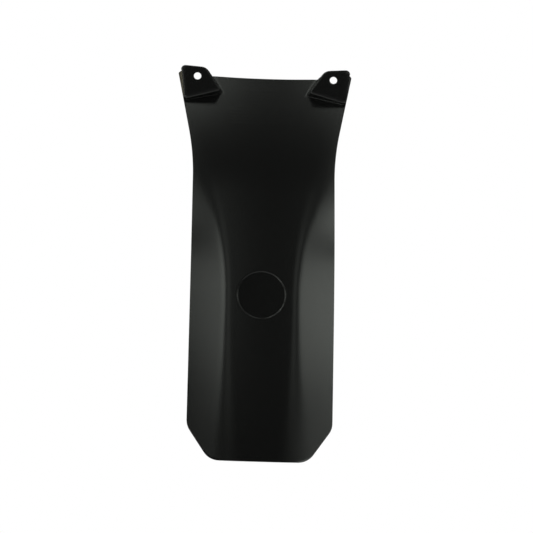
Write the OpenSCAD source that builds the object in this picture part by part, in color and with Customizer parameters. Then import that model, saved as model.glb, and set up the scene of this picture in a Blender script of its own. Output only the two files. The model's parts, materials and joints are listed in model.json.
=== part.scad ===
// Mud flap that hangs between the rear wheel and the shock absorber of an off-road motorbike.
// It is one moulded sheet of black plastic. Two ears at the top corners are pressed forward
// out of the sheet as open pockets, and a bolt goes through the flat face of each.
//
// X runs across the flap, Y points from the front of the flap to its back, and Z is up.
// The origin lies midway between the two bolt holes, on the front plane of the ears.
// Heights are measured from the line through the bolt holes, so most of them are drops.

/* [Sheet] */
// Thickness of the moulded wall
wall = 2.4; // [1.6:0.1:3]
// Height of the sheet's top edge above the bolt holes
top_rise = 4.4; // [1:0.1:5]
// How far the middle of the top edge dips
top_sag = 1.6; // [0.5:0.1:4]
// Distance from the bolt holes down to the bottom edge
drop = 339; // [310:1:370]
// Width across the straight, parallel sides
waist_w = 122.4; // [112:0.2:130]
// Drop at which the sides start to spread towards the ears
flare_drop = 70; // [60:1:90]
// Half the height over which the sides bend into that spread
flare_bend = 22; // [12:1:30]
// Width of the cut across each bottom corner
corner_cut_w = 19.7; // [12:0.1:26]
// Height of the cut across each bottom corner
corner_cut_h = 28.2; // [20:0.1:40]
// Radius at both ends of each corner cut
corner_r = 15; // [6:0.5:18]

/* [Lengthwise curve] */
// Distance from the ears' front plane back to the sheet, at the height of the bolt holes
set_back = 19.5; // [16:0.5:24]
// Lean of the sheet at its top, from upright
lean_top = 25; // [20:0.5:30]
// Lean of the sheet over its middle, from upright
lean_middle = 14.5; // [12:0.5:18]
// Lean of the sheet at its bottom, from upright
lean_bottom = 10; // [6:0.5:14]
// Drop of the bend between the top lean and the middle lean
top_bend_drop = 55; // [50:1:70]
// Half the height over which that bend is spread
top_bend_reach = 50; // [30:1:60]
// Drop of the bend between the middle lean and the bottom lean
low_bend_drop = 200; // [180:1:230]
// Half the height over which that bend is spread
low_bend_reach = 120; // [80:1:150]

/* [Channel section] */
// Radius of the shallow dish that runs across the whole sheet
dish_r = 380; // [320:5:600]
// Sideways slope that each wing adds to the dish at mid height
wing_slope = 0.43; // [0.3:0.01:0.55]
// Share of that slope that is lost by the bottom edge
wing_fade = 0.25; // [0:0.05:0.5]
// Drop at which the slope starts to be lost
wing_fade_drop = 195; // [170:1:240]
// Drop at which the wings start to rise out of the sheet
wing_start_drop = 20; // [10:1:40]
// Drop at which the wings have their full slope
wing_full_drop = 170; // [150:1:200]
// Distance from the middle line to each crease, over the lower part
crease_x = 30; // [24:0.5:36]
// Drop above which the creases part towards the top corners
crease_spread_drop = 150; // [135:1:165]
// Half the height over which the creases bend apart
crease_spread_bend = 50; // [30:1:60]
// Sideways run of each crease for each millimetre of height above that drop
crease_spread = 0.35; // [0.2:0.01:0.45]
// Drop at which the creases are sharpest
crease_sharp_drop = 195; // [170:1:220]
// Half the width of the crease where it is sharpest
crease_soft = 5; // [3:0.5:8]
// Extra half width of the crease 100 mm above or below that place
crease_soft_gain = 6.3; // [3:0.1:7]

/* [Mounting ears] */
// Distance between the bolt holes
hole_spacing = 118.7; // [112:0.1:126]
// Diameter of each bolt hole
hole_d = 6.5; // [5:0.1:9]
// Distance from each bolt hole out to the sheet's side edge
side_margin = 16.4; // [15:0.1:18]
// Distance from the bolt hole to the ear's outer edge
ear_outer = 12.05; // [10:0.05:13]
// Distance from the bolt hole to the ear's top edge
ear_top = 9.4; // [8:0.1:12]
// Distance from the bolt hole to the ear's slanted inner edge
ear_inner = 10.5; // [9:0.1:13]
// Distance from the bolt hole to the ear's bottom edge
ear_bottom = 15.7; // [13:0.1:18]
// Lean of the ear's outer edge
ear_outer_tilt = 3.4; // [0:0.2:8]
// Lean of the ear's inner edge
ear_inner_tilt = 35; // [25:1:45]
// Slope of the ear's bottom edge
ear_bottom_tilt = 15.3; // [5:0.1:22]
// Radius at the two outer corners of the ear's face
ear_corner_r = 3.5; // [3:0.1:5]
// Radius of the broad nose between the ear's top edge and its inner edge
ear_nose_r = 8; // [3:0.5:12]
// Radius at the tip between the ear's inner edge and its bottom edge
ear_tip_r = 2; // [1.8:0.1:5]
// Radius along the rim of the ear's face
ear_rim_r = 1.2; // [0.6:0.1:1.6]
// Draft of the ear's slanted inner wall
inner_draft = 12; // [8:1:25]
// Draft of the ear's bottom wall
bottom_draft = 12; // [8:1:25]

/* [Moulding mark] */
// Diameter of the round recess on the middle line
mark_d = 41.6; // [20:0.2:48]
// Drop of its centre
mark_drop = 195; // [170:1:220]
// Depth of the recess at its centre
mark_depth = 0.5; // [0.3:0.1:0.7]

/* [Hidden] */
$fn = 64;
black = [0.07, 0.07, 0.07];

hole_x = hole_spacing / 2;
half_w = waist_w / 2;
top_half_w = hole_x + side_margin;
flare_slope = (top_half_w - half_w) / flare_drop;

// Facets across and down each curved surface
columns = 52;
rows = 40;
// Facets along the spreading sides, the rounded corners and the ear's rim
flare_steps = 22;
corner_steps = 6;
rim_steps = 3;
// Facets of the full circles behind the top edge's arc and the round mark
arc_sides = 720;
mark_sides = 96;
// How far the cutting shapes reach past the sheet, and past each other
reach = 12;
extra = 6;
near_y = -200;
far_y = 60;
// How far the ear's outer wall stands off the sheet's edge before it is cut flush with it
flush = 0.3;
// Smallest radius left at a corner of the ear or its pocket
least_r = 0.4;

// A ramp from 0 to slope 1, bent smoothly over r on either side of 0
function bent_ramp(t, r) = t <= -r ? 0 : t >= r ? t : (t + r) * (t + r) / (4 * r);
// A smooth rise from 0 to 1 as t goes from 0 to 1
function smooth(t) = t <= 0 ? 0 : t >= 1 ? 1 : t * t * (3 - 2 * t);
// Height gained along a slope that grows by that smooth rise
function smooth_sum(t) = t <= 0 ? 0 : t >= 1 ? t - 0.5 : t * t * t * (1 - t / 2);

// Half the width between the sheet's side edges at height z
function side_x(z) = half_w + flare_slope * bent_ramp(z + flare_drop, flare_bend);

// Distance that the middle line has moved back by height z
function lean_y(z) = tan(lean_bottom) * z
    + (tan(lean_middle) - tan(lean_bottom)) * bent_ramp(z + low_bend_drop, low_bend_reach)
    + (tan(lean_top) - tan(lean_middle)) * bent_ramp(z + top_bend_drop, top_bend_reach);

// The crease between floor and wing at height z: its place, half width and added slope
function crease_at(z) = crease_x + crease_spread * bent_ramp(z + crease_spread_drop, crease_spread_bend);
function crease_half(z) = crease_soft + crease_soft_gain * pow((z + crease_sharp_drop) / 100, 2);
function crease_slope(z) = wing_slope
    * smooth((-wing_start_drop - z) / (wing_full_drop - wing_start_drop))
    * (1 - wing_fade * smooth((-wing_fade_drop - z) / (drop - wing_fade_drop)));

// How far the sheet stands forward of its middle line at distance x from it
function lift(x, z) = x * x / (2 * dish_r)
    + crease_slope(z) * 2 * crease_half(z)
    * smooth_sum((abs(x) - crease_at(z)) / (2 * crease_half(z)) + 0.5);

// Front surface of the sheet
function front_y(x, z) = set_back - lean_y(0) + lean_y(z) - lift(x, z);
// Length along Y through a wall of unit thickness, from the surface's slopes over 1 mm
function wall_run(x, z) = let (
        slope_x = front_y(x + 0.5, z) - front_y(x - 0.5, z),
        slope_z = front_y(x, z + 0.5) - front_y(x, z - 0.5)
    ) sqrt(1 + slope_x * slope_x + slope_z * slope_z);

// A straight edge is given by the angle of its outward normal and its distance from the origin
function direction(angle) = [cos(angle), sin(angle)];
function meet(p, q) = let (a = direction(p[0]), b = direction(q[0]), d = a[0] * b[1] - a[1] * b[0])
    [(p[1] * b[1] - q[1] * a[1]) / d, (a[0] * q[1] - b[0] * p[1]) / d];
function moved(p, distance) = [p[0], p[1] + distance];
// The round corner between two straight edges
function corner(p, q, r) = let (centre = meet(moved(p, -r), moved(q, -r)))
    [for (i = [0 : corner_steps]) centre + r * direction(p[0] + (q[0] - p[0]) * i / corner_steps)];

// Right half of the sheet's outline, from above the top edge down to the bottom edge
cut_edge = let (angle = -atan(corner_cut_w / corner_cut_h))
    [angle, [half_w, corner_cut_h - drop] * direction(angle)];
flare_top = ear_top + extra;
flare_end = -flare_drop - flare_bend;
right_side = concat(
    [for (i = [0 : flare_steps]) let (z = flare_top + (flare_end - flare_top) * i / flare_steps)
        [side_x(z), z]],
    corner([0, half_w], cut_edge, corner_r),
    corner(cut_edge, [-90, drop], corner_r)
);

// Draft of the ear's outer wall, which runs out to the sheet's side edge
outer_reach = side_margin - ear_outer;
outer_slope = (outer_reach + flush) / front_y(top_half_w, 0);
pocket_slope = outer_reach / (front_y(top_half_w, 0) + wall);

// Outline of the ear, about its bolt hole, with each edge moved by its own amount and with the
// radii of all its corners reduced
function ear_loop(outer, top, inner, bottom, less_r) = let (
        o = [-ear_outer_tilt, ear_outer + outer],
        t = [90, ear_top + top],
        i = [180 - ear_inner_tilt, ear_inner + inner],
        b = [270 - ear_bottom_tilt, ear_bottom + bottom],
        corner_r = max(ear_corner_r - less_r, least_r),
        nose_r = max(ear_nose_r - less_r, least_r),
        tip_r = max(ear_tip_r - less_r, least_r)
    ) concat(
        corner(o, t, corner_r),
        corner(t, i, nose_r),
        corner(i, b, tip_r),
        corner(b, [360 + o[0], o[1]], corner_r)
    );
// The ear's outside at depth y, with its rim rounded by an inset
function ear_outside(y, inset) = ear_loop(
    outer_slope * y - inset, -inset, tan(inner_draft) * y - inset, tan(bottom_draft) * y - inset,
    inset);
// The pocket behind the ear's face at depth y, open at the top
function ear_inside(y) = ear_loop(
    pocket_slope * y - wall, extra,
    tan(inner_draft) * y - wall / cos(inner_draft),
    tan(bottom_draft) * y - wall / cos(bottom_draft),
    wall);

// A solid through a list of [depth, outline] pairs, all with the same number of points
module through(loops) {
    n = len(loops[0][1]);
    last = len(loops) - 1;
    polyhedron(
        points = [for (pair = loops, p = pair[1]) [p[0], pair[0], p[1]]],
        faces = concat(
            [[for (i = [n - 1 : -1 : 0]) i]],
            [for (k = [0 : last - 1], i = [0 : n - 1]) let (j = (i + 1) % n)
                [k * n + i, k * n + j, (k + 1) * n + j, (k + 1) * n + i]],
            [[for (i = [0 : n - 1]) last * n + i]]
        )
    );
}

// All the space in front of the sheet's front surface, moved back by a wall of that thickness
module space_before(thickness, margin) {
    half_span = top_half_w + margin;
    top = ear_top + margin;
    bottom = -drop - margin;
    front = near_y - margin;
    function at_x(i) = half_span * (2 * i / columns - 1);
    function at_z(j) = top + (bottom - top) * j / rows;
    function id(i, j) = j * (columns + 1) + i;
    corner_id = (columns + 1) * (rows + 1);
    polyhedron(
        points = concat(
            [for (j = [0 : rows], i = [0 : columns]) let (x = at_x(i), z = at_z(j))
                [x, front_y(x, z) + thickness * wall_run(x, z), z]],
            [for (j = [0, rows], i = [0, columns]) [at_x(i), front, at_z(j)]]
        ),
        faces = concat(
            [for (j = [0 : rows - 1], i = [0 : columns - 1]) [id(i, j), id(i, j + 1), id(i + 1, j)]],
            [for (j = [0 : rows - 1], i = [0 : columns - 1])
                [id(i + 1, j), id(i, j + 1), id(i + 1, j + 1)]],
            [concat([corner_id + 1, corner_id], [for (i = [0 : columns]) id(i, 0)])],
            [concat([corner_id + 2, corner_id + 3], [for (i = [columns : -1 : 0]) id(i, rows)])],
            [concat([corner_id, corner_id + 2], [for (j = [rows : -1 : 0]) id(0, j)])],
            [concat([corner_id + 3, corner_id + 1], [for (j = [0 : rows]) id(columns, j)])],
            [[corner_id, corner_id + 1, corner_id + 3, corner_id + 2]]
        )
    );
}

// A prism along Y, from a shape drawn as the flap is seen from the front
module along_y(y0, y1) {
    translate([0, y1, 0]) rotate([90, 0, 0]) linear_extrude(y1 - y0) children();
}

module sheet_outline() {
    left_side = [for (i = [len(right_side) - 1 : -1 : 0]) [-right_side[i][0], right_side[i][1]]];
    polygon(concat(right_side, left_side));
}

// The block that an ear is pressed from, about its bolt hole, with a rounded rim
module ear_block() {
    rim = [for (k = [0 : rim_steps]) let (
            a = 90 * k / rim_steps,
            depth = ear_rim_r * (1 - cos(a)),
            inset = ear_rim_r * (1 - sin(a))
        ) [depth, ear_outside(depth, inset)]];
    through(concat(rim, [[far_y, ear_outside(far_y, 0)]]));
}

module ear_pocket() {
    through([[wall, ear_inside(wall)], [far_y, ear_inside(far_y)]]);
}

module on_both_ears() {
    for (side = [0, 1]) mirror([side, 0, 0]) translate([hole_x, 0, 0]) children();
}

// What is cut away above the top edge's shallow arc, behind the ears' faces
module top_trim() {
    arc_r = (top_half_w * top_half_w + top_sag * top_sag) / (2 * top_sag);
    lowest = top_rise - top_sag;
    side = top_half_w + reach;
    along_y(wall, far_y) intersection() {
        translate([-side, lowest - reach]) square([2 * side, ear_top + top_sag + 2 * reach]);
        translate([0, lowest + arc_r]) circle(r = arc_r, $fn = arc_sides);
    }
}

module bolt_holes() {
    on_both_ears() rotate([90, 0, 0]) cylinder(d = hole_d, h = 2 * (wall + extra), center = true);
}

// A flat-bottomed round recess, square to the sheet on its middle line
module moulding_mark() {
    lean = atan(lean_y(0.5 - mark_drop) - lean_y(-mark_drop - 0.5));
    translate([0, front_y(0, -mark_drop), -mark_drop]) rotate([90 - lean, 0, 0])
        translate([0, 0, -mark_depth]) cylinder(d = mark_d, h = extra, $fn = mark_sides);
}

module mud_flap() {
    color(black) difference() {
        intersection() {
            along_y(near_y, far_y) sheet_outline();
            difference() {
                space_before(wall, reach);
                difference() {
                    space_before(0, reach + extra);
                    on_both_ears() ear_block();
                }
            }
        }
        top_trim();
        on_both_ears() ear_pocket();
        bolt_holes();
        moulding_mark();
    }
}

mud_flap();
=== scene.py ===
import json
import math

import bmesh
import bpy
from mathutils import Matrix, Vector


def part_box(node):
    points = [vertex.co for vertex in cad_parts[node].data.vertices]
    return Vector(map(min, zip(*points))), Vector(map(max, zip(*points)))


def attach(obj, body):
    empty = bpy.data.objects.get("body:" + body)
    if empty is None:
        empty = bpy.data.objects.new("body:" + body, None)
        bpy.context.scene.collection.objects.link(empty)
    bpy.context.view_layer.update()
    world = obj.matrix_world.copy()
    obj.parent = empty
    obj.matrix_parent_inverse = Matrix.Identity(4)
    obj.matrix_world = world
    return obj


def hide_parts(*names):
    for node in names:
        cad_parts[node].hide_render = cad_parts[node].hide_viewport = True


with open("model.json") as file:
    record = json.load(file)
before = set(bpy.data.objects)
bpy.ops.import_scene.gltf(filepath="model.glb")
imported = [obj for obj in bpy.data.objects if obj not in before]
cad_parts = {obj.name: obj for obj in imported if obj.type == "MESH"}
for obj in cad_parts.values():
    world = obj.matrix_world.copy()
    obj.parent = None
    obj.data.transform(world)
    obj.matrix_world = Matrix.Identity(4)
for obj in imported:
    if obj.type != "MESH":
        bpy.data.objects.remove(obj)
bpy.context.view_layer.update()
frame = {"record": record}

# The flap: one sheet of black plastic, injection moulded, with a channel section that is
# hollow towards the front. It is drawn in millimetres, as the right half of a front skin,
# mirrored, given its wall, and scaled to metres at the end.
MM = 0.001
WALL = 2.4

bolts = next(m for m in frame["record"]["mounts"] if m["name"] == "ear_bolts")["dims"]
HOLE_X = bolts["spacing_x_mm"] / 2
HOLE_R = bolts["hole_r_mm"]
flap_low, flap_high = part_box("mud_flap")
DROP = -flap_low.z / MM

# The sheet as seen from the front. Its top edge sags, its side edges flare out towards the
# ears, and its bottom corners are cut off and rounded. Drops are from the holes' height.
TOP_RISE, TOP_SAG = 4.35, 1.6
HALF_W = 61.2
SIDE_MARGIN = 15.6
FLARE_DROP, FLARE_BEND = 70, 22
CUT_W, CUT_H, CORNER_R = 19.7, 28.2, 15


def bent_ramp(t, reach):
    """A ramp from 0 to slope 1, bent over its reach on either side of 0."""
    if t <= -reach:
        return 0.0
    return t if t >= reach else (t + reach) ** 2 / (4 * reach)


def side_x(z):
    flare = (HOLE_X + SIDE_MARGIN - HALF_W) / FLARE_DROP
    return HALF_W + flare * bent_ramp(z + FLARE_DROP, FLARE_BEND)


def top_z(x):
    """Height of the sheet's sagging top edge."""
    half = HOLE_X + SIDE_MARGIN
    arc_r = (half * half + TOP_SAG * TOP_SAG) / (2 * TOP_SAG)
    return TOP_RISE - TOP_SAG + arc_r - math.sqrt(arc_r * arc_r - x * x)


# The sheet from the side. It stands behind the ears' faces at the height of the holes, and
# leans forward by three angles on its way down, with a soft bend between each two.
SET_BACK = 19.5
LEANS = [math.tan(math.radians(angle)) for angle in (10, 14.5, 25)]
LEAN_BENDS = [(200, 120), (55, 50)]


def lean_y(z):
    bends = zip(LEANS, LEANS[1:], LEAN_BENDS)
    return LEANS[0] * z + sum((b - a) * bent_ramp(z + drop, reach) for a, b, (drop, reach) in bends)


# The channel. A wing bends forward on each side of its middle, from a crease that is soft at
# the top, sharpens downwards and opens a little again, and the whole is slightly dished.
DISH_R = 380
WING_SLOPE, WING_FADE, WING_FADE_DROP = 0.43, 0.25, 195
WING_START_DROP, WING_FULL_DROP = 20, 170
CREASE_X, CREASE_SPREAD, CREASE_SPREAD_DROP, CREASE_BEND = 30, 0.35, 150, 50
CREASE_SOFT, CREASE_SOFT_GAIN, CREASE_SHARP_DROP = 5, 6.3, 195


def smooth(t):
    """A soft step from 0 to 1."""
    t = min(max(t, 0.0), 1.0)
    return t * t * (3 - 2 * t)


def smooth_sum(t):
    """Height gained along a slope that grows by that soft step."""
    if t <= 0:
        return 0.0
    return t - 0.5 if t >= 1 else t ** 3 * (1 - t / 2)


def lift(x, z):
    """How far the sheet stands forward of its middle line."""
    crease = CREASE_X + CREASE_SPREAD * bent_ramp(z + CREASE_SPREAD_DROP, CREASE_BEND)
    half = CREASE_SOFT + CREASE_SOFT_GAIN * ((z + CREASE_SHARP_DROP) / 100) ** 2
    slope = WING_SLOPE * smooth((-WING_START_DROP - z) / (WING_FULL_DROP - WING_START_DROP))
    slope *= 1 - WING_FADE * smooth((-WING_FADE_DROP - z) / (DROP - WING_FADE_DROP))
    bend = 2 * half * smooth_sum((abs(x) - crease) / (2 * half) + 0.5)
    return x * x / (2 * DISH_R) + slope * bend


def front_y(x, z):
    return SET_BACK - lean_y(0) + lean_y(z) - lift(x, z)


def back_y(x, z):
    slope_x = front_y(x + 0.5, z) - front_y(x - 0.5, z)
    slope_z = front_y(x, z + 0.5) - front_y(x, z - 0.5)
    return front_y(x, z) + WALL * math.sqrt(1 + slope_x ** 2 + slope_z ** 2)


# An outline is made of straight edges, each given by the angle of its outward normal and its
# distance from the outline's origin, and of round corners between them.
BOTTOM_BEND_STEPS, SIDE_BEND_STEPS = 16, 12


def direction(angle):
    return Vector((math.cos(math.radians(angle)), math.sin(math.radians(angle))))


def meet(p, q):
    """Where two straight edges cross."""
    a, b = direction(p[0]), direction(q[0])
    return Vector((p[1] * b.y - q[1] * a.y, a.x * q[1] - b.x * p[1])) / (a.x * b.y - a.y * b.x)


def corner(p, q, r, steps):
    """The round corner between two straight edges."""
    centre = meet((p[0], p[1] - r), (q[0], q[1] - r))
    return [centre + r * direction(p[0] + (q[0] - p[0]) * i / steps) for i in range(steps + 1)]


def along(path, share):
    """The point at a share of the length of a path."""
    lengths = [(b - a).length for a, b in zip(path, path[1:])]
    left = share * sum(lengths)
    for a, b, length in zip(path, path[1:], lengths):
        if left <= length:
            return a.lerp(b, left / length)
        left -= length
    return path[-1]


cut_angle = -math.degrees(math.atan(CUT_W / CUT_H))
cut_edge = (cut_angle, Vector((HALF_W, CUT_H - DROP)).dot(direction(cut_angle)))
bottom_path = [Vector((0, -DROP))] + corner((-90, DROP), cut_edge, CORNER_R, BOTTOM_BEND_STEPS)
bottom_path += corner(cut_edge, (0, HALF_W), CORNER_R, SIDE_BEND_STEPS)

# Fine raised ribs cross the sheet below its top edge, shorter ones above longer ones.
RIB_PITCH, RIB_COUNT, RIB_TOP_DROP, RIB_H, RIB_HALF_W = 3.1, 11, 9.5, 0.07, 1.1
RIB_HALF_TOP, RIB_HALF_LOW, RIB_WIDE_DROP = 13, 31, 27
RIB_WIDE_REACH, RIB_END = 6, 2


def rib_rise(x, z):
    drop = -z - RIB_TOP_DROP
    if not -RIB_PITCH / 2 < drop < RIB_PITCH * (RIB_COUNT - 0.5):
        return 0.0
    wide = smooth((-z - RIB_WIDE_DROP + RIB_WIDE_REACH) / RIB_WIDE_REACH)
    half = RIB_HALF_TOP + (RIB_HALF_LOW - RIB_HALF_TOP) * wide
    off = abs((drop / RIB_PITCH + 0.5) % 1 - 0.5) * RIB_PITCH
    return RIB_H * (1 - smooth(off / RIB_HALF_W)) * (1 - smooth((abs(x) - half) / RIB_END))


def ribbed_y(x, z):
    return front_y(x, z) - rib_rise(x, z)


# The front skin starts as a grid from the middle line to the side edge, with its rows closer
# at the ribs. Its lowest rows rise towards the cut corner. Two gaps are left in it, one for
# the round mark and one for the ear. Each point also carries its place on the back skin.
COLUMNS = 48
ROW_STEP = 1.8
ROWS_PER_RIB = 4
RISE_DROP = 230
MARK_R, MARK_DROP, MARK_GAP = 20.8, 195, 26
EAR_COLUMN, EAR_GAP_DROP = 17, 27


def spaced(start, end, step):
    count = max(1, round(abs(end - start) / step))
    return [start + (end - start) * k / count for k in range(count)]


rib_low = -RIB_TOP_DROP - RIB_PITCH * RIB_COUNT
row_z = spaced(top_z(0), -RIB_TOP_DROP + RIB_PITCH, ROW_STEP)
row_z += spaced(-RIB_TOP_DROP + RIB_PITCH, rib_low, RIB_PITCH / ROWS_PER_RIB)
row_z += spaced(rib_low, -MARK_DROP + MARK_GAP, ROW_STEP)
mark_rows = [len(row_z)]
row_z += spaced(-MARK_DROP + MARK_GAP, -MARK_DROP - MARK_GAP, ROW_STEP)
mark_rows.append(len(row_z))
row_z += spaced(-MARK_DROP - MARK_GAP, -DROP, ROW_STEP) + [-DROP]
mark_columns = round(MARK_GAP / side_x(-MARK_DROP) * COLUMNS)
ear_rows = sum(z > -EAR_GAP_DROP for z in row_z)


def sheet_plan(i, j):
    """Place of a grid point as seen from the front."""
    u, z = i / COLUMNS, row_z[j]
    end = along(bottom_path, u)
    low = smooth((-RISE_DROP - z) / (DROP - RISE_DROP))
    top = smooth((z + RIB_TOP_DROP) / (RIB_TOP_DROP + top_z(0)))
    z += low * (end.y + DROP) + top * (top_z(u * side_x(TOP_RISE)) - top_z(0))
    return Vector((side_x(z) * (u + low * (end.x / HALF_W - u)), z))


def sheet_place(i, j):
    x, z = sheet_plan(i, j)
    return Vector((x, ribbed_y(x, z), z)), Vector((x, back_y(x, z), z))


def in_gap(face):
    """Whether a face of the unplaced grid lies in the ear's gap or in the mark's."""
    i, j = face.calc_center_median().xy
    in_mark = i < mark_columns and mark_rows[0] < j < mark_rows[1]
    return in_mark or (i > EAR_COLUMN and j < ear_rows)


def add_patch(mesh, back, columns, rows, place):
    """Adds a grid of faces. Each point gets its place on the front skin and on the back skin."""
    made = bmesh.ops.create_grid(mesh, x_segments=columns, y_segments=rows, size=0.5)["verts"]
    for v in made:
        i, j = round((v.co.x + 0.5) * columns), round((v.co.y + 0.5) * rows)
        v.co, v[back] = place(i, j)


skin = bmesh.new()
back = skin.verts.layers.float_vector.new("back")
add_patch(skin, back, COLUMNS, len(row_z) - 1, lambda i, j: (Vector((i, j, 0)), Vector()))
bmesh.ops.delete(skin, geom=[f for f in skin.faces if in_gap(f)], context="FACES")
for v in skin.verts:
    v.co, v[back] = sheet_place(round(v.co.x), round(v.co.y))

# The round mark is sunk in the middle of the channel, with a fine lip around it. It is a patch
# of half rings, from the edge of its square gap to its centre.
MARK_DEPTH, MARK_LIP, MARK_LIP_W = 0.5, 0.05, 0.4
MARK_RADII = (MARK_R + 1.6, MARK_R + 0.8, MARK_R + MARK_LIP_W, MARK_R,
              MARK_R - 0.25, MARK_R - 1, 15, 10, 5, 0)
MARK_OUT = 3
mark_side = mark_rows[1] - mark_rows[0]
mark_turns = 2 * mark_columns + mark_side


def mark_border(turn):
    if turn <= mark_columns:
        return sheet_plan(turn, mark_rows[0])
    if turn <= mark_columns + mark_side:
        return sheet_plan(mark_columns, mark_rows[0] + turn - mark_columns)
    return sheet_plan(mark_turns - turn, mark_rows[1])


def mark_place(turn, ring):
    border, centre = mark_border(turn), Vector((0, -MARK_DROP))
    r = MARK_RADII[max(ring - MARK_OUT, 0)]
    spot = centre + (border - centre).normalized() * r
    if ring < MARK_OUT:
        spot = border.lerp(spot, ring / MARK_OUT)
    x, z = spot
    y = front_y(x, z)
    if r < MARK_R:
        slope = lean_y(0.5 - MARK_DROP) - lean_y(-0.5 - MARK_DROP)
        y = front_y(0, -MARK_DROP) + slope * (z + MARK_DROP)
        y += MARK_DEPTH * math.sqrt(1 + slope ** 2)
    elif r <= MARK_R + MARK_LIP_W:
        y -= MARK_LIP
    return Vector((x, y, z)), Vector((x, back_y(x, z), z))


add_patch(skin, back, mark_turns, MARK_OUT + len(MARK_RADII) - 1, mark_place)

# The mounting ears are pressed forward out of the sheet's top corners as open pockets, each
# with one hole for a bolt. The face of an ear has an outer, a top, an inner and a bottom edge,
# placed from its hole. Its walls run back to the sheet with some draft, and the outer one
# would run a little past the sheet's side edge, so that it ends flush with it.
TOP_CORNER_RISE = 0.8
EAR_OUTER, EAR_INNER, EAR_BOTTOM = 13.4, 10.5, 17.2
EAR_TOP = flap_high.z / MM - TOP_CORNER_RISE
OUTER_TILT, TOP_TILT, INNER_TILT, BOTTOM_TILT = 6.5, 3.9, 35, 15.3
EAR_REACHES = (EAR_OUTER, EAR_TOP, EAR_INNER, EAR_BOTTOM)
EAR_ANGLES = (-OUTER_TILT, 90 + TOP_TILT, 180 - INNER_TILT, 270 - BOTTOM_TILT)
EAR_CORNER_R, EAR_NOSE_R, EAR_TIP_R, LEAST_R = 3.5, 8, 2, 0.4
EAR_RIM_R, POCKET_R, FOOT_R, FOOT_SHARE = 1.2, 1.0, 0.6, 0.4
INNER_DRAFT, BOTTOM_DRAFT = math.radians(7), math.radians(5)
SIDE_OVERRUN = 0.3
BEHIND_SHEET = 20
outer_reach = SIDE_MARGIN - EAR_OUTER
side_depth = front_y(HOLE_X + SIDE_MARGIN, 0)

# Faces along an ear's outline: down its inner edge from the sheet's top edge, round its tip and
# heel, up its outer edge, and then round the tab that stands above the sheet's top edge.
TIP_TURN, HEEL_TURN, OUTER_RISE = 10, 8, 12
TAB_RISE, BROW_TURN, TAB_TOP, NOSE_TURN, TAB_INNER = 4, 6, 8, 10, 4
RIM_GAP = 0.9
ear_columns = COLUMNS - EAR_COLUMN
INNER_DROP = ear_rows - TIP_TURN // 2
BOTTOM_RUN = ear_columns - TIP_TURN // 2 - HEEL_TURN // 2
wall_turns = ear_rows + ear_columns + HEEL_TURN // 2 + OUTER_RISE

# Rings of an ear: over its face, round its rim, down its wall, round its foot, over the sheet.
FACE_RINGS, RIM_RINGS, WALL_RINGS, FOOT_RINGS, SHEET_RINGS = 5, 3, 6, 5, 6
FACE_CROWDING = 1.3
EVEN_REACH = 6
CROSSING_PASSES, HALVINGS = 4, 40


def ear_edges(moves, inset):
    return [(angle, reach + move - inset)
            for angle, reach, move in zip(EAR_ANGLES, EAR_REACHES, moves)]


def ear_outside(y, inset):
    """Edges of the ear's outside at a depth, and by how much its corners are less round."""
    moves = ((outer_reach + SIDE_OVERRUN) / side_depth * y, 0,
             math.tan(INNER_DRAFT) * y, math.tan(BOTTOM_DRAFT) * y)
    return ear_edges(moves, inset), inset


def ear_inside(y, inset):
    moves = (outer_reach / (side_depth + WALL) * y - WALL, 0,
             math.tan(INNER_DRAFT) * y - WALL / math.cos(INNER_DRAFT),
             math.tan(BOTTOM_DRAFT) * y - WALL / math.cos(BOTTOM_DRAFT))
    return ear_edges(moves, inset), WALL + inset


def at_top_edge(edge):
    """Where an ear's edge crosses the sheet's top edge, from its hole's centre."""
    n, z = direction(edge[0]), TOP_RISE
    for _ in range(CROSSING_PASSES):
        x = (edge[1] - n.y * z) / n.x
        z = top_z(HOLE_X + x)
    return Vector((x, z))


def between(a, b, count):
    return [a.lerp(b, k / count) for k in range(count)]


def ear_ring(edges, less_r):
    """One turn along an ear's outline, with a short face on either side of the top edge."""
    outer, top, inner, bottom = edges
    corner_radii = (EAR_CORNER_R, EAR_NOSE_R, EAR_TIP_R)
    corner_r, nose_r, tip_r = (max(r - less_r, LEAST_R) for r in corner_radii)
    tip = corner(inner, bottom, tip_r, TIP_TURN)
    heel = corner(bottom, (outer[0] + 360, outer[1]), corner_r, HEEL_TURN)
    brow = corner(outer, top, corner_r, BROW_TURN)
    nose = corner(top, inner, nose_r, NOSE_TURN)
    start, end = at_top_edge(inner), at_top_edge(outer)
    down, up = (tip[0] - start).normalized() * RIM_GAP, (brow[0] - end).normalized() * RIM_GAP
    wall = [start] + between(start + down, tip[0], INNER_DROP - 1) + tip[:-1]
    wall += between(tip[-1], heel[0], BOTTOM_RUN) + heel[:-1]
    wall += between(heel[-1], end - up, OUTER_RISE - 1) + [end - up, end]
    tab = between(end + up, brow[0], TAB_RISE - 1) + brow[:-1]
    tab += between(brow[-1], nose[0], TAB_TOP) + nose[:-1]
    tab += between(nose[-1], start - down, TAB_INNER - 1) + [start - down]
    return wall + tab


def rim_rings(edges_at, depth, radius):
    """Rings round the rim of an ear, from its face to its wall, with the depth of each."""
    rings = []
    for step in range(RIM_RINGS + 1):
        turn = math.radians(90 * step / RIM_RINGS)
        y = depth + radius * (1 - math.cos(turn))
        rings.append((y, ear_ring(*edges_at(y, radius * (1 - math.sin(turn))))))
    return rings


outer_rings = rim_rings(ear_outside, 0, EAR_RIM_R)
inner_rings = rim_rings(ear_inside, WALL, POCKET_R)
# Above the sheet's top edge there is no pocket, and the back of the tab is flat.
for step, (_, ring) in enumerate(inner_rings):
    tab_ring = ear_ring(*ear_outside(WALL, RIM_GAP * (RIM_RINGS - step)))
    ring[wall_turns + 1:] = tab_ring[wall_turns + 1:]
ear_turns = len(outer_rings[0][1])


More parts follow.
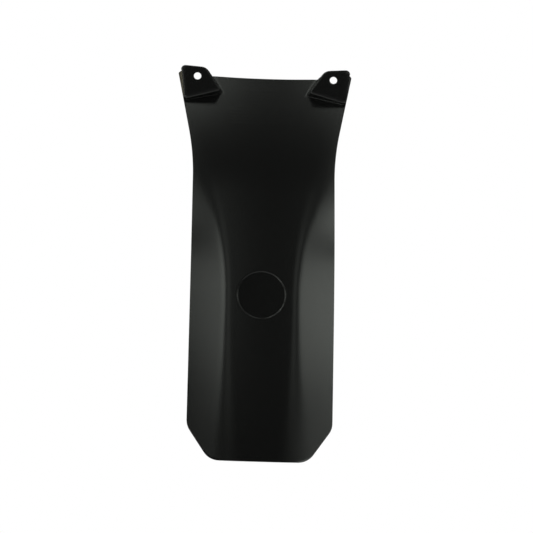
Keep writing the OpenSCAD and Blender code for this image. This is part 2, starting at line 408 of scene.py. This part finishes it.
def ear_point(spot, y):
    return Vector((HOLE_X + spot.x, y, spot.y))


def face_place(turn, ring):
    """Places from an ear's hole over its face and round its rim."""
    turn %= ear_turns
    places = []
    for rings in (outer_rings, inner_rings):
        y, outline = rings[max(ring - FACE_RINGS, 0)]
        spot = outline[turn]
        if ring < FACE_RINGS:
            hole = spot.normalized() * HOLE_R
            spot = hole.lerp(spot, (ring / FACE_RINGS) ** FACE_CROWDING)
        elif rings is inner_rings and turn > wall_turns:
            y = WALL
        places.append(ear_point(spot, y))
    return places


def ear_wall(first, last, rim_y, surface):
    """Where the ear's wall, followed from its rim, meets the sheet or the sheet's side edge."""
    low, high = rim_y, BEHIND_SHEET
    for _ in range(HALVINGS):
        y = (low + high) / 2
        spot = first.lerp(last, (y - rim_y) / (BEHIND_SHEET - rim_y))
        x, z = HOLE_X + spot.x, spot.y
        if y < surface(x, z) and x < side_x(z):
            low = y
        else:
            high = y
    return ear_point(spot, y)


def ear_border(turn, end):
    """The edge of the ear's gap and, past its corner, the side edge up to the wall's end."""
    if turn <= ear_rows:
        return sheet_plan(EAR_COLUMN, turn)
    if turn <= ear_rows + ear_columns:
        return sheet_plan(EAR_COLUMN + turn - ear_rows, ear_rows)
    share = min(1, (turn - ear_rows - ear_columns) / (HEEL_TURN // 2))
    z = sheet_plan(COLUMNS, ear_rows).y * (1 - share) + end.z * share
    return Vector((side_x(z), z))


outer_wall = (*outer_rings[-1], ear_ring(*ear_outside(BEHIND_SHEET, 0)), ribbed_y)
inner_wall = (*inner_rings[-1], ear_ring(*ear_inside(BEHIND_SHEET, 0)), back_y)


def wall_end(turn, wall):
    rim_y, rim, deep, surface = wall
    return ear_wall(rim[turn], deep[turn], rim_y, surface)


def wall_stops(wall, flat, foot):
    """Distances of the rings down a wall and over the sheet. They are even where it is short."""
    parts = [wall - foot, 2 * foot, max(flat - foot - RIM_GAP, 0)]
    stops = [0.0]
    for length, count in zip(parts, (WALL_RINGS, FOOT_RINGS, SHEET_RINGS - 1)):
        stops += [stops[-1] + length * (k + 1) / count for k in range(count)]
    even = [(wall + flat - RIM_GAP) * k / (len(stops) - 1) for k in range(len(stops))]
    keep = smooth((flat - RIM_GAP) / EVEN_REACH)
    return [s * keep + e * (1 - keep) for s, e in zip(stops, even)] + [wall + flat]


def wall_path(turn, wall):
    """Places from an ear's rim down its wall, round its foot and over the sheet."""
    rim_y, rim, _, surface = wall
    start, end = ear_point(rim[turn], rim_y), wall_end(turn, wall)
    border = ear_border(turn, wall_end(turn, outer_wall))
    height = (end - start).length
    flat = (border - Vector((end.x, end.z))).length
    foot = min(FOOT_R, FOOT_SHARE * flat, FOOT_SHARE * height)

    def on_sheet(s):
        x, z = Vector((end.x, end.z)).lerp(border, min(1, s / max(flat, 1e-9)))
        return Vector((x, surface(x, z), z))

    points = []
    for s in wall_stops(height, flat, foot):
        if s <= height - foot or flat < 1e-6:
            points.append(start.lerp(end, min(1, s / height)))
        elif s < height + foot:
            t = (s - height + foot) / (2 * foot)
            above, beyond = start.lerp(end, (height - foot) / height), on_sheet(foot)
            points.append(above * (1 - t) ** 2 + end * 2 * t * (1 - t) + beyond * t * t)
        else:
            points.append(on_sheet(s - height))
    return points


wall_paths = [(wall_path(turn, outer_wall), wall_path(turn, inner_wall))
              for turn in range(wall_turns + 1)]
add_patch(skin, back, ear_turns, FACE_RINGS + RIM_RINGS, face_place)
add_patch(skin, back, wall_turns, WALL_RINGS + FOOT_RINGS + SHEET_RINGS,
          lambda turn, ring: [path[ring] for path in wall_paths[turn]])

MERGE = 1e-3
bmesh.ops.remove_doubles(skin, verts=skin.verts, dist=MERGE)
bmesh.ops.mirror(skin, geom=skin.verts[:] + skin.edges[:] + skin.faces[:], axis="X",
                 merge_dist=MERGE)
for v in skin.verts:
    v[back].x = math.copysign(abs(v[back].x), v.co.x) if abs(v.co.x) > MERGE else 0.0

# The wall: the front skin is pulled back to the back skin, and every rim is rounded. Nothing
# stands out past the sheet's side edges.
EDGE_R, HOLE_EDGE_R, EDGE_STEPS = 0.6, 0.2, 3
RIM_ANGLE = math.radians(40)
HOLE_NEAR = 0.1
bmesh.ops.recalc_face_normals(skin, faces=skin.faces)
pulled = bmesh.ops.extrude_face_region(skin, geom=skin.faces[:])["geom"]
behind = {g for g in pulled if isinstance(g, bmesh.types.BMVert)}
for v in behind:
    v.co = v[back]
rims, hole_rims = [], []
for e in skin.edges:
    sides = [len({v in behind for v in f.verts}) for f in e.link_faces]
    if sorted(sides) == [1, 2] and e.calc_face_angle() > RIM_ANGLE:
        at_hole = all(math.hypot(abs(v.co.x) - HOLE_X, v.co.z) < HOLE_R + HOLE_NEAR
                      for v in e.verts)
        (hole_rims if at_hole else rims).append(e)
for edges, radius in ((rims, EDGE_R), (hole_rims, HOLE_EDGE_R)):
    bmesh.ops.bevel(skin, geom=edges, offset=radius, offset_type="OFFSET", segments=EDGE_STEPS,
                    profile=0.5, affect="EDGES", material=-1, clamp_overlap=False)
for v in skin.verts:
    v.co.x = math.copysign(min(abs(v.co.x), side_x(v.co.z)), v.co.x)
bmesh.ops.scale(skin, vec=(MM, MM, MM), verts=skin.verts)
bmesh.ops.recalc_face_normals(skin, faces=skin.faces)
for f in skin.faces:
    f.smooth = True

flap = bpy.data.objects.new("flap", bpy.data.meshes.new("flap"))
bpy.context.scene.collection.objects.link(flap)
skin.to_mesh(flap.data)
skin.free()

# Black plastic with a half gloss and the fine grain of its mould, polished in the round mark.
BLACK = (0.0045, 0.0045, 0.0045, 1)
POLISHED, HALF_GLOSS, POLISH_EDGE = 0.22, 0.26, 0.6
GRAIN_SCALE, GRAIN_DETAIL, GRAIN_STRENGTH, GRAIN_DEPTH = 1100, 2, 0.12, 0.0001
plastic = bpy.data.materials.new("moulded_plastic")
plastic.use_nodes = True
nodes, links = plastic.node_tree.nodes, plastic.node_tree.links
shader = nodes["Principled BSDF"]
shader.inputs["Base Color"].default_value = BLACK
place = nodes.new("ShaderNodeTexCoord")
from_mark = nodes.new("ShaderNodeMapping")
from_mark.inputs["Location"].default_value = (0, 0, MARK_DROP * MM)
from_mark.inputs["Scale"].default_value = (1, 0, 1)
links.new(place.outputs["Object"], from_mark.inputs["Vector"])
distance = nodes.new("ShaderNodeVectorMath")
distance.operation = "LENGTH"
links.new(from_mark.outputs["Vector"], distance.inputs[0])
polish = nodes.new("ShaderNodeMapRange")
polish.inputs["From Min"].default_value = (MARK_R - POLISH_EDGE) * MM
polish.inputs["From Max"].default_value = MARK_R * MM
polish.inputs["To Min"].default_value = POLISHED
polish.inputs["To Max"].default_value = HALF_GLOSS
links.new(distance.outputs["Value"], polish.inputs["Value"])
links.new(polish.outputs["Result"], shader.inputs["Roughness"])
grain = nodes.new("ShaderNodeTexNoise")
grain.inputs["Scale"].default_value = GRAIN_SCALE
grain.inputs["Detail"].default_value = GRAIN_DETAIL
links.new(place.outputs["Object"], grain.inputs["Vector"])
bump = nodes.new("ShaderNodeBump")
bump.inputs["Strength"].default_value = GRAIN_STRENGTH
bump.inputs["Distance"].default_value = GRAIN_DEPTH
links.new(grain.outputs["Fac"], bump.inputs["Height"])
links.new(bump.outputs["Normal"], shader.inputs["Normal"])
flap.data.materials.append(plastic)

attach(flap, "root")
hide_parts("mud_flap")

# The floor is a plain white sheet below the flap. It looks near white from everywhere, and the
# light that the lamps add to it leaves the flap's shadow there.
FLOOR_HALF, FLOOR_DROP, FLOOR_GLOW = 40, 0.62, 0.7
floor_mesh = bmesh.new()
bmesh.ops.create_grid(floor_mesh, x_segments=1, y_segments=1, size=FLOOR_HALF)
bmesh.ops.translate(floor_mesh, verts=floor_mesh.verts, vec=(0, 0, -FLOOR_DROP))
floor = bpy.data.objects.new("floor", bpy.data.meshes.new("floor"))
bpy.context.scene.collection.objects.link(floor)
floor_mesh.to_mesh(floor.data)
floor_mesh.free()
white = bpy.data.materials.new("white_sheet")
white.use_nodes = True
nodes, links = white.node_tree.nodes, white.node_tree.links
sheet_shader = nodes["Principled BSDF"]
sheet_shader.inputs["Base Color"].default_value = (0.9, 0.9, 0.9, 1)
sheet_shader.inputs["Roughness"].default_value = 0.9
sheet_shader.inputs["Emission Color"].default_value = (1, 1, 1, 1)
light_path = nodes.new("ShaderNodeLightPath")
glow = nodes.new("ShaderNodeMath")
glow.operation = "MULTIPLY"
glow.inputs[1].default_value = FLOOR_GLOW
links.new(light_path.outputs["Is Camera Ray"], glow.inputs[0])
links.new(glow.outputs["Value"], sheet_shader.inputs["Emission Strength"])
floor.data.materials.append(white)

# The studio looks white all round. It casts a soft even light, and the gloss of the plastic
# mirrors only the white behind the flap.
EVEN_LIGHT = 0.25
BEHIND_FROM, BEHIND_MIRRORED = 0.9, 0.2
world = bpy.data.worlds.new("studio")
bpy.context.scene.world = world
world.use_nodes = True
nodes, links = world.node_tree.nodes, world.node_tree.links
light_path = nodes.new("ShaderNodeLightPath")
sky = nodes.new("ShaderNodeTexCoord")
split = nodes.new("ShaderNodeSeparateXYZ")
links.new(sky.outputs["Generated"], split.inputs["Vector"])
behind_flap = nodes.new("ShaderNodeMapRange")
behind_flap.inputs["From Min"].default_value = BEHIND_FROM
behind_flap.inputs["From Max"].default_value = 1
behind_flap.inputs["To Max"].default_value = BEHIND_MIRRORED
links.new(split.outputs["Y"], behind_flap.inputs["Value"])


def studio_math(operation, first, second):
    node = nodes.new("ShaderNodeMath")
    node.operation = operation
    links.new(first, node.inputs[0])
    links.new(second, node.inputs[1])
    return node.outputs["Value"]


mirrored = studio_math("MAXIMUM", light_path.outputs["Is Glossy Ray"],
                       light_path.outputs["Is Transmission Ray"])
mirrored = studio_math("MULTIPLY", mirrored, behind_flap.outputs["Result"])
even = nodes.new("ShaderNodeMath")
even.operation = "MULTIPLY"
even.inputs[1].default_value = EVEN_LIGHT
links.new(light_path.outputs["Is Diffuse Ray"], even.inputs[0])
unseen = studio_math("MAXIMUM", mirrored, even.outputs["Value"])
strength = studio_math("MAXIMUM", light_path.outputs["Is Camera Ray"], unseen)
background = nodes["Background"]
background.inputs["Color"].default_value = (1, 1, 1, 1)
links.new(strength, background.inputs["Strength"])

# Square softboxes stand round the flap, all turned to its middle. Each is given by the angle
# that it stands to the right of the front, its angle above the flap's middle, and its watts.
# A warm card behind the flap on the left lights the outer wall of the left ear.
FLAP_MIDDLE = Vector((0, -0.03, -0.17))
SOFTBOX_AWAY, SOFTBOX_SIZE = 1.4, 0.4
SOFT_GREEN, WARM = (0.98, 1.04, 0.96), (1, 0.95, 0.68)
FRONT_BOXES = ((-20, 30, 0.3), (20, 30, 0.35), (-35, 65, 0.97), (35, 65, 0.75), (-35, 0, 2.0))
LEFT_BOXES = ((-58, 12, 0.9), (-65, 25, 0.85), (-53, 27, 0.8), (-65, 50, 1.5))
RIGHT_BOXES = ((50, 28, 1.2), (65, 25, 0.35), (65, 50, 0.45))
REAR_BOXES = ((135, 8, 0.3), (-145, 55, 1.8), (145, 55, 1.6), (180, 75, 1.2))
WARM_CARD = (-135, 8, 1.1)


def add_softbox(azimuth, height, watts, colour):
    lamp = bpy.data.lights.new("softbox", "AREA")
    lamp.energy, lamp.size, lamp.color = watts, SOFTBOX_SIZE, colour
    softbox = bpy.data.objects.new("softbox", lamp)
    turn = (Matrix.Rotation(math.radians(azimuth), 3, "Z")
            @ Matrix.Rotation(math.radians(-height), 3, "X"))
    softbox.location = FLAP_MIDDLE + turn @ Vector((0, -SOFTBOX_AWAY, 0))
    softbox.rotation_euler = (FLAP_MIDDLE - softbox.location).to_track_quat("-Z", "Y").to_euler()
    bpy.context.scene.collection.objects.link(softbox)


for box in FRONT_BOXES + LEFT_BOXES + RIGHT_BOXES + REAR_BOXES:
    add_softbox(*box, SOFT_GREEN)
add_softbox(*WARM_CARD, WARM)

# The camera stands nearly straight in front of the flap, low down, and looks slightly up at it
# through a long lens.
LENS = 220.3
CAMERA_SPOT = (-0.0994, -2.8047, -0.502)
YAW, PITCH, ROLL = (math.radians(angle) for angle in (-2.136, 6.834, 1.544))
eye = bpy.data.cameras.new("camera")
eye.lens = LENS
camera = bpy.data.objects.new("camera", eye)
bpy.context.scene.collection.objects.link(camera)
bpy.context.scene.camera = camera
camera.location = CAMERA_SPOT
turn = Matrix.Rotation(YAW, 3, "Z") @ Matrix.Rotation(math.radians(90) + PITCH, 3, "X")
camera.rotation_euler = (turn @ Matrix.Rotation(ROLL, 3, "Z")).to_euler()

bpy.context.scene.view_settings.view_transform = "Standard"
